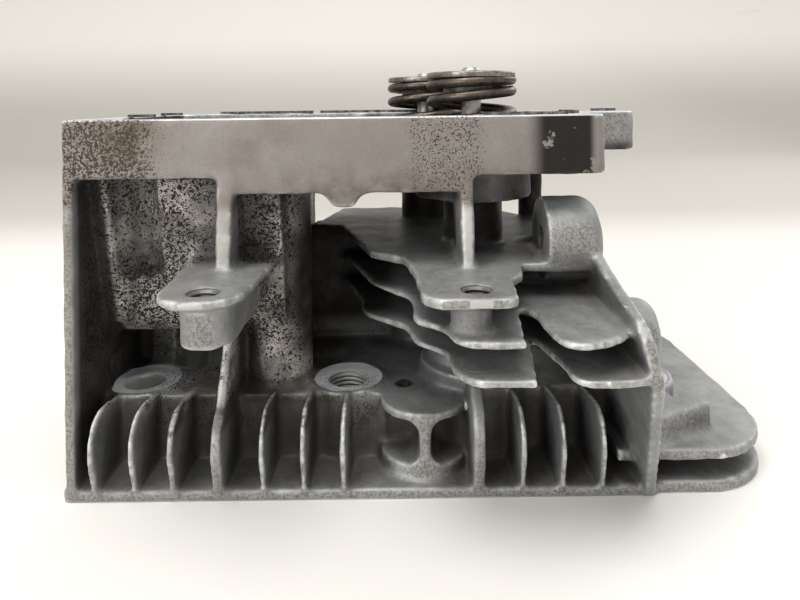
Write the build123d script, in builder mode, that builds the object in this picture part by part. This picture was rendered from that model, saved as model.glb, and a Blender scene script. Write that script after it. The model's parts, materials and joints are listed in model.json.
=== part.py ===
from build123d import *
import math
import os

# Single-cylinder overhead-valve cylinder head, millimetres.
# Frame: origin on the cylinder bore axis at the gasket face, +Z up through the rocker box.
# -Y is the side with the two bracket ears, +X the side with the exhaust flange.

# ---- castings: heights ------------------------------------------------------------------
BASE_T, FLANGE_OUT = 2.7, 1.4     # flange round the gasket land; its reach beyond the left wall
SHELF_Z = 20.4            # top of the solid deck over the combustion chamber
FIN_C_Z, FIN_B_Z, EAR_Z = 42.7, 51.0, 60.4
FLOOR_Z, FLOOR_T = 88.0, 4.0
RIM_Z = 99.5              # machined face for the rocker cover

# ---- castings: plan ---------------------------------------------------------------------
FRONT, REAR = -54.0, 54.0
LEFT, LEFT_WALL_T = -114.4, 2.9
BOX_RIGHT, BOX_REAR = 28.0, 32.0
SHELF_FRONT_LEFT, SHELF_FRONT_RIGHT, SHELF_REAR = -37.8, -34.0, 40.0
STEP_X = -31.0            # where the shelf's front wall steps back
EAR_TIP_Y = -82.0

# ---- right-hand wall, leaning inwards as it rises ------------------------------------------
WALL_FOOT_X, WALL_LEAN, WALL_T = 39.5, 0.205, 3.0
PLATE_RIGHT = 75.6        # reach of the two horizontal side fins

# ---- valve train --------------------------------------------------------------------------
EXHAUST_XY, INTAKE_XY = (-4.1, -23.5), (-16.7, 13.6)
EXHAUST_HEAD_R, INTAKE_HEAD_R = 12.5, 15.0
VALVE_FACE_Z, ROOF_Z, INSERT_TOP_Z = 11.0, 12.2, 18.0
STEM_R, GUIDE_BORE_R, GUIDE_R = 2.98, 3.01, 5.5
GUIDE_Z0, GUIDE_Z1 = 44.0, 88.5
TIP_Z = 113.5
SEAT_FACE_W = 2.5         # width of the 45 degree seat, measured across the radius
SEAT_GAP = 0.04
SPRING_POCKET_Z, WASHER_T = 82.0, 1.0
SPRING_R, WIRE_R = 12.3, 1.5
RETAINER_R, RETAINER_Z0, RETAINER_Z1 = 13.45, 110.3, 112.0
POCKET_R, BOSS_R = 15.2, 17.6

GROOVE_Z, GROOVE_W, GROOVE_R = 108.2, 0.9, 2.4
HUB_Z, HUB_R, KEEPER_R0, KEEPER_R1, KEEPER_GAP = 104.8, 9.2, 4.6, 5.8, 0.02
ACTIVE_TURNS, GRIND = 3.0, 0.9    # turns that flex; depth ground off each end coil
COIL_START = 0.0

# ---- rocker-cover gasket, mostly torn away -------------------------------------------------------
GASKET_T = 0.8
# each strip: x from, x to, y of its middle, width, seed of its ragged edge
GASKET_STRIPS = (
    (-96.0, -60.0, 29.6, 3.0, 1.0), (-57.0, -12.0, 29.8, 3.2, 2.0), (-6.0, 14.0, 29.8, 2.6, 3.0),
    (-111.0, -104.0, 8.0, 2.0, 4.0), (-110.5, -103.0, -20.0, 3.0, 5.0), (22.6, 25.6, -30.0, 12.0, 6.0),
    (39.0, 47.0, -2.8, 2.0, 7.0), (-4.0, 18.0, -51.6, 1.2, 8.0),
)

# ---- bolts and screws ----------------------------------------------------------------------
BOLT_X, BOLT_Y, FAR_BOLT_X = 42.5, 28.1, -103.2
BOLT_HOLE_R, SPOT_R = 5.5, 10.0
SPOT_Z = 20.7             # turned seats of the bolt heads
EAR_HOLE_R = 3.3          # tapping size of an M8 thread
EAR_HOLES = ((-71.7, -73.6), (-9.0, -73.6))
EAR_SPOT_R, EAR_SPOT_DEPTH = 4.6, 0.25
MIDDLE_EAR_FLOOR_Z = 51.6  # bottom of its blind thread
COVER_TAP_R, COVER_BOSS_R, COVER_TAP_Z = 2.5, 5.5, 86.0
COVER_SCREWS = ((-106.5, -46.5), (-40.0, 25.5), (-106.5, 25.5), (19.5, -46.5), (43.7, -8.0))
ROCKER_STUDS = ((-46.0, -23.5), (-46.0, 8.0))
ROCKER_TAP_R, ROCKER_TAP_Z = 3.4, 82.6
STUD_TAP_R = 3.3

# ---- ports and spark plug; flange places are (y, z) on the leaning wall -------------------------
FLANGE_PROUD, PAD_X, PAD = 2.0, 35.3, (-62.0, 45.0)
UPPER_STUD, LOWER_STUD, PORT_MOUTH = (-42.0, 65.0), (-8.0, 36.0), (-24.0, 50.0)
EXHAUST_PORT_R, INTAKE_PORT_R = 10.5, 12.0
INTAKE_MOUTH = (-30.0, 50.0, 42.0)
INTAKE_STUD_GAP, INTAKE_FLANGE_T = 44.0, 8.0
PLUG_FOOT, PLUG_TILT = (20.0, 12.0, ROOF_Z - 3), 28.0
PLUG_TAP_R, PLUG_SEAT = 6.2, 22.0    # the seat is measured along the plug from its foot

ALL_BOLTS = (
    (-BOLT_X, -BOLT_Y), (BOLT_X, -BOLT_Y), (-BOLT_X, BOLT_Y), (BOLT_X, BOLT_Y),
    (FAR_BOLT_X, -BOLT_Y),
)


def wall_x(z):
    """Outer face of the leaning right-hand wall at height z."""
    return WALL_FOOT_X - WALL_LEAN * z


def block(x0, x1, y0, y1, z0, z1):
    """Upright block between two corners."""
    with BuildPart() as made:
        with BuildSketch(Plane.XY.offset(z0)):
            with Locations(((x0 + x1) / 2, (y0 + y1) / 2)):
                Rectangle(x1 - x0, y1 - y0)
        extrude(amount=z1 - z0)
    return made.part


def posts(centres, radius, z0, z1):
    """Upright round posts, used both as bosses and as drillings."""
    with BuildPart() as made:
        with BuildSketch(Plane.XY.offset(z0)):
            with Locations(*centres):
                Circle(radius)
        extrude(amount=z1 - z0)
    return made.part


def slab(points, z_top, thickness, corner=0.0):
    """Horizontal plate with a straight-sided outline, its corners rounded."""
    with BuildPart() as made:
        with BuildSketch(Plane.XY.offset(z_top - thickness)) as outline:
            with BuildLine():
                Polyline(*points, close=True)
            make_face()
            if corner:
                fillet(outline.vertices(), corner)
        extrude(amount=thickness)
    return made.part


def wavy_fin(front_edge, back_edge, z_top, thickness):
    """Horizontal fin whose free edge is one flowing curve."""
    with BuildPart() as made:
        with BuildSketch(Plane.XY.offset(z_top - thickness)):
            with BuildLine():
                free = Spline(*front_edge)
                Polyline(free @ 1, *back_edge, free @ 0)
            make_face()
        extrude(amount=thickness)
    return made.part


def upright_fin(x, width, points):
    """Vertical fin lying in a YZ plane, centred on x."""
    with BuildPart() as made:
        with BuildSketch(Plane.YZ.offset(x - width / 2)):
            with BuildLine():
                Polyline(*points, close=True)
            make_face()
        extrude(amount=width)
    return made.part


# ==== casting: lower half =====================================================================
def base_flange():
    """Thin flange round the gasket land, with its front left corner rounded."""
    with BuildPart() as made:
        with BuildSketch() as outline:
            with BuildLine():
                Polyline((LEFT - FLANGE_OUT, FRONT), (WALL_FOOT_X, FRONT), (WALL_FOOT_X, REAR),
                         (LEFT - FLANGE_OUT, REAR), close=True)
            make_face()
            fillet(outline.vertices().group_by(Axis.X)[0], 3)
        extrude(amount=BASE_T)
    return made.part


def side_fins():
    """Two broad horizontal fins reaching out to the right."""
    front_y, rear_y, big_r, small_r = FRONT + 1.0, 38.0, 22.0, 14.0
    with BuildPart() as made:
        for bottom, thickness in ((0.0, 3.2), (8.4, 2.8)):
            with BuildSketch(Plane.XY.offset(bottom)) as outline:
                with BuildLine():
                    Polyline((30.0, front_y), (PLATE_RIGHT, front_y), (PLATE_RIGHT, rear_y),
                             (30.0, rear_y), close=True)
                make_face()
                right = outline.vertices().group_by(Axis.X)[-1].sort_by(Axis.Y)
                fillet(right[0], big_r)
                fillet(outline.vertices().group_by(Axis.X)[-1].sort_by(Axis.Y)[-1], small_r)
            extrude(amount=thickness)
    return made.part


def side_gusset():
    """Low triangular web between the upper side fin and the right-hand wall."""
    return slab(((33.0, -55.0), (60.0, -41.5), (56.0, -38.0), (33.0, -38.0)), 18.6, 9.0)


def chamber_deck():
    """Solid deck over the combustion chamber, stepped back on the right."""
    with BuildPart() as made:
        with BuildSketch():
            with BuildLine():
                Polyline((LEFT, SHELF_FRONT_LEFT), (STEP_X, SHELF_FRONT_LEFT),
                         (STEP_X, SHELF_FRONT_RIGHT), (wall_x(0) - 1, SHELF_FRONT_RIGHT),
                         (wall_x(0) - 1, SHELF_REAR), (LEFT, SHELF_REAR), close=True)
            make_face()
        extrude(amount=SHELF_Z)
    return made.part


def front_fin(x, width, top):
    """Bellied fin that joins the base flange to the shelf."""
    belly_y = FRONT - 3.3
    with BuildPart() as made:
        with BuildSketch(Plane.YZ.offset(x - width / 2)):
            with BuildLine():
                Line((SHELF_FRONT_RIGHT + 1, 0), (FRONT + 0.2, 0))
                Line((FRONT + 0.2, 0), (belly_y, 13.0))
                TangentArc((belly_y, 13.0), (FRONT + 6.5, top), tangent=(-0.1, 1))
                Line((FRONT + 6.5, top), (SHELF_FRONT_RIGHT + 1, SHELF_Z))
                Line((SHELF_FRONT_RIGHT + 1, SHELF_Z), (SHELF_FRONT_RIGHT + 1, 0))
            make_face()
        extrude(amount=width)
    return made.part


def i_boss():
    """Round boss pocketed from both sides, so that its front reads as a letter I."""
    x, radius, web_w, pocket_h, pocket_w = -20.4, 12.2, 3.2, 11.4, 14.0
    with BuildPart() as made:
        with BuildSketch():
            with Locations((x, SHELF_FRONT_LEFT - 1.0)):
                Circle(radius)
        extrude(amount=SHELF_Z)
        offset_x = (web_w + pocket_w) / 2
        with BuildSketch(Plane.XZ.offset(-FRONT)):
            with Locations((x - offset_x, 12.4), (x + offset_x, 12.4)):
                RectangleRounded(pocket_w, pocket_h, 3.6)
        extrude(amount=FRONT - SHELF_FRONT_LEFT - 1.0, mode=Mode.SUBTRACT)
    return made.part


def bolt_bosses():
    """Low spot-faced pads and, on the right, posts standing on the side fins."""
    left = posts(((-BOLT_X, -BOLT_Y), (FAR_BOLT_X, -BOLT_Y), (-BOLT_X, BOLT_Y)), 11.5, 0, SHELF_Z + 0.8)
    right = posts(((BOLT_X, -BOLT_Y), (BOLT_X, BOLT_Y)), 11.5, 0, SHELF_Z + 0.8)
    return left, right


# ==== casting: left-hand body ===================================================================
def left_wall():
    return block(LEFT, LEFT + LEFT_WALL_T, FRONT, BOX_REAR, 0, RIM_Z)


def pushrod_body():
    """Hollow body that carries the rocker box and houses the pushrods."""
    with BuildPart() as made:
        with BuildSketch(Plane.YZ.offset(LEFT + 1.0)):
            with BuildLine():
                Polyline((28, SHELF_Z - 2), (28, FLOOR_Z - 1), (-47, FLOOR_Z - 1), (-38, 50))
                ThreePointArc((-38, 50), (-35.5, 41), (-28, 36))
                Polyline((-28, 36), (-11.3, 36), (-11.3, SHELF_Z - 2), (28, SHELF_Z - 2))
            make_face()
        extrude(amount=54.0)
    return made.part


def leaning_post(x, y_low, y_high, z_low, z_high, radius):
    """Round post in a YZ plane, leaning with the front of the body."""
    low, high = Vector(x, y_low, z_low), Vector(x, y_high, z_high)
    with BuildPart() as made:
        with BuildSketch(Plane(origin=low, z_dir=high - low)):
            Circle(radius)
        extrude(amount=(high - low).length)
    return made.part


# ==== casting: rocker box =======================================================================
def rocker_box():
    """Open tray with a machined rim, its floor four millimetres thick."""
    rim_w = 4.5
    with BuildPart() as made:
        with BuildSketch(Plane.XY.offset(FLOOR_Z - FLOOR_T)) as outline:
            with BuildLine():
                Polyline((LEFT, FRONT), (BOX_RIGHT, FRONT), (BOX_RIGHT, BOX_REAR),
                         (LEFT, BOX_REAR), close=True)
            make_face()
            fillet(outline.vertices().group_by(Axis.X)[-1], 3.5)
        extrude(amount=RIM_Z - FLOOR_Z + FLOOR_T)
        with BuildSketch(Plane.XY.offset(FLOOR_Z)) as cavity:
            with Locations(((LEFT + BOX_RIGHT) / 2, (FRONT + BOX_REAR) / 2)):
                RectangleRounded(BOX_RIGHT - LEFT - 2 * rim_w, BOX_REAR - FRONT - 2 * rim_w, 6)
        extrude(amount=RIM_Z - FLOOR_Z, mode=Mode.SUBTRACT)
    return made.part


def box_skirt():
    """Front wall of the tray hanging below its floor, with its stepped lower edge."""
    with BuildPart() as made:
        with BuildSketch(Plane.XZ.offset(-FRONT)):
            with BuildLine():
                Polyline((LEFT, 90), (LEFT, 86.4), (-74.4, 86.4), (-71, 79.6), (-48, 79.6), (-46.2, 79.2),
                         (-44, 76.4), (-42.8, 75.8), (-39.4, 75.8), (-38.2, 76.4), (-36.4, 79.0),
                         (-34, 79.6), (-8, 79.6), (-6, 86.1), (BOX_RIGHT - 5, 86.1),
                         (BOX_RIGHT - 5, 90), close=True)
            make_face()
        extrude(amount=-4.5)
    return made.part


def cover_lug():
    """Rounded ear at the right-hand end for one of the rocker-cover screws."""
    x, y = COVER_SCREWS[-1]
    with BuildPart() as made:
        with BuildSketch(Plane.XY.offset(87.0)):
            with BuildLine():
                Polyline((BOX_RIGHT - 3, y - 14), (x, y - 7), (x, y + 7), (BOX_RIGHT - 3, y + 14),
                         close=True)
            make_face()
            with Locations((x, y)):
                Circle(7)
        extrude(amount=RIM_Z - 87.0)
    return made.part


# ==== casting: ears and fins on the front ========================================================
def ear(left_x, right_x, root_y, hole, boss_w, boss_x, boss_z):
    """Bracket ear: thin plate with a round nose over a rounded block."""
    nose_r = (right_x - left_x) / 2 - 1
    with BuildPart() as made:
        with BuildSketch(Plane.XY.offset(EAR_Z - 2.2)) as top:
            with BuildLine():
                Polyline((left_x - 2.5, root_y), (left_x, EAR_TIP_Y + 14), (left_x + 1.0, EAR_TIP_Y),
                         (right_x, EAR_TIP_Y), (right_x + 1.0, EAR_TIP_Y + 14), (right_x + 2.5, root_y),
                         close=True)
            make_face()
            fillet(top.vertices().group_by(Axis.Y)[0], nose_r)
        extrude(amount=2.2)
        with BuildSketch(Plane.XY.offset(boss_z)) as body:
            with Locations((boss_x, (root_y + hole[1]) / 2)):
                Rectangle(boss_w, root_y - hole[1])
            with Locations((boss_x, hole[1])):
                Circle(boss_w / 2)
        extrude(amount=EAR_Z - 1 - boss_z)
    return made.part


def left_ear():
    return ear(-82.5, -62.5, -36.0, EAR_HOLES[0], 12.4, -70.6, 48.9)


def middle_ear():
    """Ear that grows out of the uppermost fin and carries a short round boss."""
    inner_x = wall_x(EAR_Z) - 1
    plate = slab(((-57.0, 14.0), (-57.0, 6.5), (-46.5, 3.0), (-35.0, -35.5), (-25.8, -43.2), (-23.2, -56.0),
                  (-21.6, -79.0), (-18.0, EAR_TIP_Y), (-2.4, EAR_TIP_Y), (-0.3, -79.6), (0.5, -66.0),
                  (4.0, -61.4), (5.2, -52.2), (24.0, -52.2), (inner_x, -49.0), (inner_x, 14.0)),
                 EAR_Z, 2.4, 0.9)
    boss = posts(((-10.2, -73.6),), 4.9, FIN_B_Z - 0.5, EAR_Z - 1)
    return plate, boss


def front_ribs():
    """Upright ribs between the ears and the rocker box."""
    left = upright_fin(-72.0, 4.0, ((-36, 50), (-36, 88), (-52, 88), (FRONT, 86.4), (-57.2, EAR_Z - 1),
                                    (-50, 50)))
    middle = upright_fin(-8.9, 3.5, ((-30, EAR_Z - 1), (-34, FLOOR_Z - 2), (FRONT + 0.4, FLOOR_Z - 2),
                                     (FRONT + 0.2, 79.6), (-58.0, EAR_Z - 1)))
    return left, middle


def fin_levels():
    """Two storeys of wavy horizontal fins in front of the exhaust port."""
    thickness = 1.8
    rear_y, back_left = 16.0, (-47.0, 6.0)
    b_left = wavy_fin(((-36.3, -28.6), (-30, -39.8), (-24.6, -47.2), (-23.4, -60.0), (-22.4, -66.6),
                       (-17.2, -71.4), (-14.2, -79.6), (-9.0, -81.8), (0.8, -82.0)),
                      ((3.0, -60.5), (4.4, -52), (4.4, rear_y), (-47.0, rear_y), back_left),
                      FIN_B_Z, thickness)
    b_right = wavy_fin(((4.2, -58.9), (6.8, -66.0), (8.2, -79.6), (10.6, -83.0), (17.4, -82.6),
                        (22.4, -79.4), (wall_x(FIN_B_Z) - 1.6, -74.5)),
                       ((wall_x(FIN_B_Z) - 1.6, rear_y), (4.2, rear_y)), FIN_B_Z, thickness)
    c_left = wavy_fin(((-37.9, -25.2), (-33.1, -39.5), (-25.3, -47.1), (-22.3, -58.3), (-16.4, -64.4),
                       (-14.9, -74.4), (-11.2, -81.2), (-4.0, -82.6), (3.0, -82.6)),
                      ((6.4, -56), (6.4, rear_y), (-47.0, rear_y), back_left), FIN_C_Z, thickness)
    c_right = wavy_fin(((6.2, -54.0), (8.4, -62.3), (10.6, -75), (12.4, -82.0), (16.0, -83.2),
                        (wall_x(FIN_C_Z) - 1.6, -81.6)),
                       ((wall_x(FIN_C_Z) - 1.6, rear_y), (6.2, rear_y)), FIN_C_Z, thickness)
    return b_left, b_right, c_left, c_right


# ==== casting: exhaust side ======================================================================
def leaning_wall():
    """Right-hand wall, three millimetres thick, carrying the ends of the fins."""
    profile = ((SHELF_REAR, 0), (FRONT, 0), (EAR_TIP_Y + 1.5, 40.0), (EAR_TIP_Y, 44.5),
               (EAR_TIP_Y + 1.4, 52.0), (EAR_TIP_Y + 4.5, 55.4), (-62.0, 60.2), (-49.0, 66.0),
               (-30.0, 70.0), (-12.0, 62.0), (8.0, 40.0), (SHELF_REAR, 24.0))
    lean = math.degrees(math.atan(WALL_LEAN))
    with BuildPart() as made:
        with BuildSketch(Plane(origin=(WALL_FOOT_X, 0, 0), x_dir=(0, 1, 0),
                               z_dir=Vector(1, 0, 0).rotate(Axis.Y, -lean))) as face:
            with BuildLine():
                Polyline(*profile, close=True)
            make_face()
            fillet(face.vertices().group_by(Axis.Y)[0], 3)
        extrude(amount=-WALL_T)
        split(bisect_by=Plane.XY, keep=Keep.TOP)
    return made.part


def cross_post(place, radius, x0, x1, nose):
    """Round boss lying along X, its outer rim rounded off."""
    y, z = place
    with BuildPart() as made:
        with BuildSketch(Plane.YZ.offset(x0)):
            with Locations((y, z)):
                Circle(radius)
        extrude(amount=x1 - x0)
        fillet(made.faces().sort_by(Axis.X)[-1].edges(), nose)
    return made.part


def exhaust_flange():
    """Stud bosses, port boss and a bracket pad on the leaning wall."""
    upper = cross_post(UPPER_STUD, 11.5, 12.5, wall_x(UPPER_STUD[1]) + FLANGE_PROUD, 6.0)
    pad = cross_post(PAD, 9.0, wall_x(PAD[1]) - 2, PAD_X, 3.0)
    return upper, pad, stud_post(LOWER_STUD, 7.5, 9.0), stud_post(PORT_MOUTH, 15.0, 20.0)


def wall_plane(y, z):
    """Plane on the flange face at (y, z), its normal pointing out of the head."""
    lean = math.degrees(math.atan(WALL_LEAN))
    return Plane(origin=(wall_x(z) + FLANGE_PROUD, y, z), x_dir=(0, 1, 0),
                 z_dir=Vector(1, 0, 0).rotate(Axis.Y, -lean))


def stud_post(place, radius, length):
    with BuildPart() as made:
        with BuildSketch(wall_plane(*place)):
            Circle(radius)
        extrude(amount=-length)
    return made.part


def tube(points, radius):
    """Round passage swept along a smooth line."""
    with BuildPart() as made:
        with BuildLine() as path:
            Spline(*points)
        with BuildSketch(Plane(origin=path.line @ 0, z_dir=path.line % 0)):
            Circle(radius)
        sweep()
    return made.part


def exhaust_run(inset=0.0, beyond=0.0):
    """Centre line of the exhaust passage, from valve throat to flange."""
    x, y = EXHAUST_XY
    end_y, end_z = PORT_MOUTH
    end_x = wall_x(end_z) + FLANGE_PROUD
    return ((x, y, INSERT_TOP_Z - 4), (x, y, 24.0), (x + 4, y - 0.4, 35.0), (x + 16, y - 2.0, 45.5),
            (end_x - inset, end_y, end_z - 0.6), (end_x + beyond, end_y, end_z + beyond * WALL_LEAN))


def intake_run(beyond=0.0):
    """Centre line of the intake passage, from valve throat to the rear face."""
    x, y = INTAKE_XY
    mx, my, mz = INTAKE_MOUTH
    return ((x, y, INSERT_TOP_Z - 4), (x, y, 24.0), (x - 2.4, y + 5.0, 33.5), (x - 8.0, y + 16.0, 40.0),
            (mx, my - 8.0, mz), (mx, my + beyond, mz))


def intake_flange():
    """Oval flange on the rear with two tapped holes."""
    x, y, z = INTAKE_MOUTH
    with BuildPart() as made:
        with BuildSketch(Plane.XZ.offset(-y)):
            with Locations((x, z)):
                SlotCenterToCenter(INTAKE_STUD_GAP, 18.0)
                Circle(17.0)
        extrude(amount=INTAKE_FLANGE_T)
    return made.part


def plug_plane():
    return Plane(origin=PLUG_FOOT, z_dir=Vector(0, 0, 1).rotate(Axis.Y, PLUG_TILT))


def plug_post(radius, start, end):
    with BuildPart() as made:
        with BuildSketch(plug_plane().offset(start)):
            Circle(radius)
        extrude(amount=end - start)
    return made.part


# ==== casting: rear ================================================================================
def rear_fins():
    """Plain fins on the rear, repeating the pitch of the front ones."""
    made = []
    for x in (-96.0, -86.0, -76.0, -66.0, -56.0, 4.0, 14.0, 24.0):
        made.append(upright_fin(x, 1.8, ((SHELF_REAR - 1, 0), (REAR, 0), (REAR + 0.5, 13), (REAR - 4, 19),
                                         (REAR - 8, SHELF_Z), (SHELF_REAR - 1, SHELF_Z))))
    for top in (FIN_C_Z, FIN_B_Z, EAR_Z):
        made.append(slab(((-56.0, 12.0), (-50.0, 40.0), (4.0, 40.0), (14.0, 28.0), (wall_x(top) - 1, 10.0),
                          (wall_x(top) - 1, 6.0), (-56.0, 6.0)), top, 1.8, 0.5))
    return made


FRONT_FIN_X = (-106.5, -96.1, -86.1, -62.7, -52.1, -41.8, 4.8, 15.0, 25.3)

solids = [base_flange(), side_fins(), side_gusset(), chamber_deck(), i_boss(), left_wall(), pushrod_body(),
          rocker_box(), box_skirt(), cover_lug(), left_ear(), leaning_wall(), intake_flange()]
solids += [front_fin(x, 1.5, 23.0) for x in FRONT_FIN_X]
solids += [front_fin(-74.4, 2.6, 23.5), front_fin(-6.6, 3.2, 27.5)]
solids += list(bolt_bosses()) + list(middle_ear()) + list(front_ribs()) + list(fin_levels())
solids += list(exhaust_flange()) + rear_fins()
solids += [
    upright_fin(-74.4, 2.6, ((-36, 16), (-55.6, 16), (-44.3, 36.7), (-36, 49.5), (-28, 49.5), (-10, 20))),
    posts(((-63.0, -26.0),), 9.5, SHELF_Z - 1, FLOOR_Z - 1),
    leaning_post(-108.2, -33.0, -43.3, 42.0, FLOOR_Z - 3, 4.6),
    posts((EXHAUST_XY, INTAKE_XY), 9.0, 26.0, 78.0),
    posts((EXHAUST_XY, INTAKE_XY), BOSS_R, 74.5, FLOOR_Z),
    posts(COVER_SCREWS[:-1], COVER_BOSS_R, FLOOR_Z - 1, RIM_Z),
    posts(ROCKER_STUDS, 8.0, ROCKER_TAP_Z - 3, FLOOR_Z + 4),
    posts(((21.0, 13.0),), 4.2, SHELF_Z + 20, FLOOR_Z - 1),
    block(-58.0, -8.0, 5.0, 12.0, SHELF_Z - 1, EAR_Z - 1),
    posts((EXHAUST_XY,), EXHAUST_HEAD_R + 4.2, 0, SHELF_Z + 5),
    tube(exhaust_run(inset=6.0), 14.0), tube(intake_run(), 15.5), plug_post(11.5, 6.0, PLUG_SEAT),
]

drillings = [
    tube(exhaust_run(inset=6.0, beyond=6.0), EXHAUST_PORT_R),
    tube(intake_run(beyond=4.0), INTAKE_PORT_R),
    posts((EXHAUST_XY,), EXHAUST_HEAD_R + 2, ROOF_Z - 1, INSERT_TOP_Z),
    posts((INTAKE_XY,), INTAKE_HEAD_R + 2, ROOF_Z - 1, INSERT_TOP_Z),
    posts((EXHAUST_XY, INTAKE_XY), GUIDE_R, 30.0, SPRING_POCKET_Z + 1),
    posts((EXHAUST_XY, INTAKE_XY), POCKET_R, SPRING_POCKET_Z, RIM_Z),
    posts(ALL_BOLTS, BOLT_HOLE_R, -1, SHELF_Z + 3),
    posts(ALL_BOLTS, SPOT_R, SPOT_Z, SPOT_Z + 8.7),
    posts(EAR_HOLES[:1], EAR_HOLE_R, 47.0, EAR_Z + 1),
    posts(EAR_HOLES[1:], EAR_HOLE_R, MIDDLE_EAR_FLOOR_Z, EAR_Z + 1),
    posts(EAR_HOLES, EAR_SPOT_R, EAR_Z - EAR_SPOT_DEPTH, EAR_Z + 1),
    posts(COVER_SCREWS, COVER_TAP_R, COVER_TAP_Z, RIM_Z + 1),
    posts(ROCKER_STUDS, ROCKER_TAP_R, ROCKER_TAP_Z, FLOOR_Z + 5),
    plug_post(PLUG_TAP_R, -2.0, PLUG_SEAT + 1), plug_post(15.0, PLUG_SEAT, PLUG_SEAT + 60),
    cross_post(UPPER_STUD, STUD_TAP_R, 5.0, 40.0, 1.0), stud_post(LOWER_STUD, STUD_TAP_R, 8.0),
    slab(((-28.4, -31.0), (-27.2, -33.2), (-24.4, -33.0), (-23.6, -31.4), (-25.6, -30.2)), SHELF_Z + 1, 4.5),
    block(-100.0, -70.0, -17.0, 21.0, -1.0, FLOOR_Z + 1),
    leaning_post(-99.4, -39.6, -46.6, 55.0, FLOOR_Z - FLOOR_T, 6.4),
]

with BuildPart() as chamber:
    with BuildSketch():
        with Locations(EXHAUST_XY):
            Circle(EXHAUST_HEAD_R + 2.0)
        with Locations(INTAKE_XY):
            Circle(INTAKE_HEAD_R + 2.5)
        with Locations((20.0, 6.0)):
            Circle(15.0)
        make_hull()
    extrude(amount=ROOF_Z)

with BuildPart() as intake_taps:
    with BuildSketch(Plane.XZ.offset(-INTAKE_MOUTH[1])):
        with Locations((INTAKE_MOUTH[0], INTAKE_MOUTH[2])):
            with GridLocations(INTAKE_STUD_GAP, 0, 2, 1):
                Circle(COVER_TAP_R)
    extrude(amount=INTAKE_FLANGE_T + 1)

with BuildPart() as casting:
    for solid in solids:
        add(solid)
    for drilling in drillings:
        add(drilling, mode=Mode.SUBTRACT)
    add(chamber.part, mode=Mode.SUBTRACT)
    add(intake_taps.part, mode=Mode.SUBTRACT)


# ==== valve train ==================================================================================
def turned(centre, outline, arc=360.0, start=0.0):
    """Piece turned about a vertical axis from its (radius, height) outline."""
    x, y = centre
    with BuildPart() as made:
        with BuildSketch(Plane(origin=(x, y, 0), x_dir=Vector(1, 0, 0).rotate(Axis.Z, start),
                               z_dir=Vector(0, -1, 0).rotate(Axis.Z, start))):
            with BuildLine():
                Polyline(*outline, close=True)
            make_face()
        revolve(axis=Axis((x, y, 0), (0, 0, 1)), revolution_arc=arc)
    return made.part


def valve(centre, head_r):
    """Poppet valve: flat face, 45 degree seat, tulip neck, stem with one keeper groove."""
    x, y = centre
    seat_top = ROOF_Z + SEAT_FACE_W
    with BuildPart() as made:
        with BuildSketch(Plane(origin=(x, y, 0), x_dir=(1, 0, 0), z_dir=(0, -1, 0))):
            with BuildLine():
                Polyline((0, TIP_Z), (0, VALVE_FACE_Z), (head_r, VALVE_FACE_Z), (head_r, ROOF_Z),
                         (head_r - SEAT_FACE_W, seat_top))
                ThreePointArc((head_r - SEAT_FACE_W, seat_top), (STEM_R + 3.0, seat_top + 3.4),
                              (STEM_R, seat_top + 13))
                Polyline((STEM_R, seat_top + 13), (STEM_R, GROOVE_Z - GROOVE_W),
                         (GROOVE_R, GROOVE_Z - GROOVE_W / 2), (GROOVE_R, GROOVE_Z + GROOVE_W / 2),
                         (STEM_R, GROOVE_Z + GROOVE_W), (STEM_R, TIP_Z - 0.8), (STEM_R - 0.7, TIP_Z),
                         (0, TIP_Z))
            make_face()
        revolve(axis=Axis((x, y, 0), (0, 0, 1)))
    return made.part


def seat_insert(centre, head_r):
    """Hard ring pressed into the roof, with the seat the valve closes on."""
    throat = head_r - SEAT_FACE_W - 1.0
    return turned(centre, ((head_r + SEAT_GAP, ROOF_Z), (head_r + 2, ROOF_Z), (head_r + 2, INSERT_TOP_Z),
                           (throat, INSERT_TOP_Z), (throat, ROOF_Z + head_r - throat + SEAT_GAP)))


def guide(centre):
    """Plain guide with a chamfered top."""
    return turned(centre, ((GUIDE_BORE_R, GUIDE_Z0), (GUIDE_R, GUIDE_Z0), (GUIDE_R, GUIDE_Z1 - 0.8),
                           (GUIDE_R - 0.8, GUIDE_Z1), (GUIDE_BORE_R, GUIDE_Z1)))


def washer(centre):
    """Flat steel washer that keeps the spring off the soft casting."""
    z = SPRING_POCKET_Z
    return turned(centre, ((GUIDE_R + 0.6, z), (POCKET_R - 0.5, z), (POCKET_R - 0.5, z + WASHER_T),
                           (GUIDE_R + 0.6, z + WASHER_T)))


def retainer(centre):
    """Steel dish holding the top of the spring, with a tapered hole for the keepers."""
    return turned(centre, ((KEEPER_R0, HUB_Z), (HUB_R - 0.8, HUB_Z), (HUB_R, RETAINER_Z0),
                           (RETAINER_R, RETAINER_Z0), (RETAINER_R, RETAINER_Z1 - 0.4),
                           (RETAINER_R - 0.4, RETAINER_Z1), (KEEPER_R1, RETAINER_Z1)))


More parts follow.
